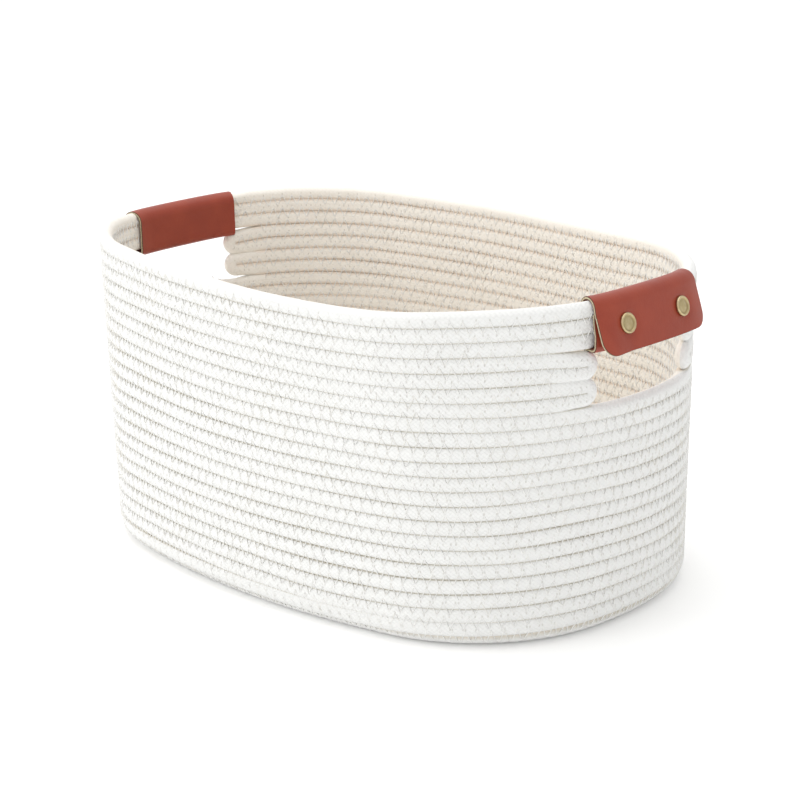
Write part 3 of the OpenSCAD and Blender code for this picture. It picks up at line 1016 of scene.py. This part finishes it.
def add_edges(shape, outer, inner):
    """The leather's cut edge: a pale core between two dark painted lines, slightly rounded."""
    top, bottom = border(outer), border(inner)
    middle = (top + bottom) / 2
    along = unit(np.roll(middle, -1, axis=0) - np.roll(middle, 1, axis=0))
    through = unit(top - bottom)
    out = np.cross(along, through)
    lines = [top + share * (bottom - top) + stand * out for share, stand in EDGE_LINES]
    for i, slot in enumerate(EDGE_SLOTS):
        pair = np.stack([lines[i], lines[i + 1]], axis=1)
        uv = np.zeros((len(pair) + 1, 2, 2))
        shape.grid(pair, uv, False, closed_along=True, slot=slot)


# ---------------------------------------------------------------- the rivets

# Half of a rivet cap's section, in shares of its radius and height.
CAP_PROFILE = [(0.0, 0.66), (0.25, 0.65), (0.48, 0.61), (0.62, 0.55), (0.70, 0.55), (0.75, 0.72),
               (0.80, 0.92), (0.86, 1.0), (0.92, 0.94), (0.97, 0.74), (1.0, 0.45), (0.985, 0.1),
               (0.96, 0.0), (0.5, 0.0), (0.0, 0.0)]
CAP_R, CAP_H = 0.0055, 0.0016
# How dark the brass is at each point of it.
CAP_RECESS = [0.15, 0.15, 0.2, 0.55, 1.0, 0.8, 0.25, 0.0, 0.0, 0.1, 0.3, 0.8, 1.0, 1.0, 1.0]

# Half of a post's section, in metres: the hidden inner cap, the post and its outer end.
POST_PROFILE = np.array([(0.0, -0.0005), (0.0042, -0.0005), (0.0045, -0.0002), (0.0045, 0.0),
                         (0.0016, 0.0), (0.0015, 0.0002), (0.0015, 0.0050), (0.0, 0.0050)])


POST_RECESS = 0.3
POST_BACK = 0.0047  # from the flap's middle back to the post's inner cap
TURN_SIDES = 48


def turned(name, node, profile, recess, place):
    """A piece turned about a rivet's axis from its half section: (radius, distance along it)."""
    centre, away, left = place
    turn = np.linspace(0, 2 * math.pi, TURN_SIDES, endpoint=False)
    across = profile[:, 0, None] * np.cos(turn)
    rise = profile[:, 0, None] * np.sin(turn)
    out = np.broadcast_to(profile[:, 1, None], across.shape)
    points = centre + out[..., None] * away + across[..., None] * left \
        + rise[..., None] * np.cross(away, left)
    marks = np.zeros(across.shape + (len(MARKS),))
    marks[..., 0] = np.array(recess)[:, None]
    shape = Shape()
    shape.grid(points, np.zeros((len(profile), TURN_SIDES + 1, 2)), True, marks=marks, flip=True)
    finish_piece(shape.object(name, [BRASS], MARKS[:1]), "rivet", node)


def rivet(end, place, side, along, tilt):
    """A round cap with a raised ring round a shallow dome, and the post behind it."""
    out_x, out_y = (np.interp(along, END_U, END_N[:, i]) for i in (0, 1))
    level = side * np.array([out_x, out_y, 0.0])
    left = side * np.array([-out_y, out_x, 0.0])
    away = math.cos(FLAP_SWING) * level + math.sin(FLAP_SWING) * np.array([0.0, 0.0, 1.0])
    flap = on_end(FLAP_X, np.array(along), np.array(RIVET_Z), side, tilt)
    seat = flap + (LEATHER_T / 2 - 0.0002) * away
    cap = np.array(CAP_PROFILE) * (CAP_R, CAP_H)
    turned(f"{end}_{place}_cap", f"{end}_{place}_rivet_cap", cap, CAP_RECESS, (seat, away, left))
    post = POST_PROFILE[::-1]
    turned(f"{end}_{place}_post", f"{end}_{place}_rivet_post", post, [POST_RECESS] * len(post),
           (flap - POST_BACK * level, level, left))


def grips_and_rivets():
    for end, side, tilt in (("right", 1, (0.0, 0.0)), ("left", -1, LEFT_TILT)):
        grip(f"{end}_leather_grip", f"{end}_grip", side, tilt)
        for place, along in (("front", -side * RIVET_Y), ("back", side * RIVET_Y)):
            rivet(end, place, side, along, tilt)


# ---------------------------------------------------------------- floor, lights, camera

FLOOR_REACH = 14.0
SKY_FROM = (-0.85, -0.5, 0.0)  # the sky's brighter side
SKY_STRENGTH = (0.68, 1.30)  # from its darker side to its brighter one


def floor():
    mesh = bpy.data.meshes.new("floor")
    r = FLOOR_REACH
    corners = [(-r, -r, 0), (r, -r, 0), (r, r, 0), (-r, r, 0)]
    mesh.from_pydata(corners, [], [(0, 1, 2, 3)])
    mesh.materials.append(floor_material())
    piece = bpy.data.objects.new("floor", mesh)
    bpy.context.scene.collection.objects.link(piece)


def area_light(name, place, target, size, power, colour):
    light = bpy.data.lights.new(name, "AREA")
    light.shape = "RECTANGLE"
    light.size, light.size_y = size
    light.energy = power
    light.color = colour
    piece = bpy.data.objects.new(name, light)
    bpy.context.scene.collection.objects.link(piece)
    piece.location = place
    piece.rotation_euler = (Vector(target) - Vector(place)).to_track_quat("-Z", "Y").to_euler()


def lights():
    """A soft white sky, a large light to the left of the camera and one overhead."""
    world = bpy.data.worlds.new("studio")
    bpy.context.scene.world = world
    world.use_nodes = True
    tree = world.node_tree
    place = tree.nodes.new("ShaderNodeTexCoord")
    toward = tree.nodes.new("ShaderNodeVectorMath")
    toward.operation = "DOT_PRODUCT"
    toward.inputs[1].default_value = SKY_FROM
    strength = tree.nodes.new("ShaderNodeMapRange")
    strength.inputs["From Min"].default_value = -1.0
    strength.inputs["From Max"].default_value = 1.0
    strength.inputs["To Min"].default_value = SKY_STRENGTH[0]
    strength.inputs["To Max"].default_value = SKY_STRENGTH[1]
    tree.links.new(place.outputs["Generated"], toward.inputs[0])
    tree.links.new(toward.outputs["Value"], strength.inputs["Value"])
    tree.links.new(strength.outputs[0], tree.nodes["Background"].inputs["Strength"])
    tree.nodes["Background"].inputs["Color"].default_value = (1.0, 1.0, 1.0, 1)
    middle = (0, 0, 0.1)
    area_light("key", (-1.1, -1.4, 1.6), middle, (1.6, 1.2), 7.0, (1.0, 1.0, 0.985))
    area_light("top", (-0.2, 0.2, 2.0), middle, (1.8, 1.8), 13.0, (1.0, 1.0, 1.0))


VIEW = (44.0, 16.56, -1.21)  # azimuth, elevation and roll, in degrees
VIEW_DISTANCE = 1.2356
VIEW_TARGET = (-0.0593, 0.0714, 0.0605)
LENS, SENSOR = 86.34, 36.0  # millimetres


def camera():
    azimuth, elevation, roll = (math.radians(a) for a in VIEW)
    back = Vector((math.sin(azimuth) * math.cos(elevation),
                   -math.cos(azimuth) * math.cos(elevation), math.sin(elevation)))
    right = Vector((-back.y, back.x, 0)).normalized()
    up = back.cross(right)
    tilted_right = right * math.cos(roll) + up * math.sin(roll)
    tilted_up = up * math.cos(roll) - right * math.sin(roll)
    data = bpy.data.cameras.new("camera")
    data.lens = LENS
    data.sensor_width = SENSOR
    piece = bpy.data.objects.new("camera", data)
    bpy.context.scene.collection.objects.link(piece)
    axes = Matrix((tilted_right, tilted_up, back)).transposed().to_4x4()
    axes.translation = Vector(VIEW_TARGET) + back * VIEW_DISTANCE
    piece.matrix_world = axes
    bpy.context.scene.camera = piece


camera()
lights()
floor()
bpy.context.scene.view_settings.view_transform = "Standard"

base_rope()
wall_rope()
hairpins()
rim_rope()
wall_threads()
base_thread()
rim_thread()
side_threads()
grips_and_rivets()
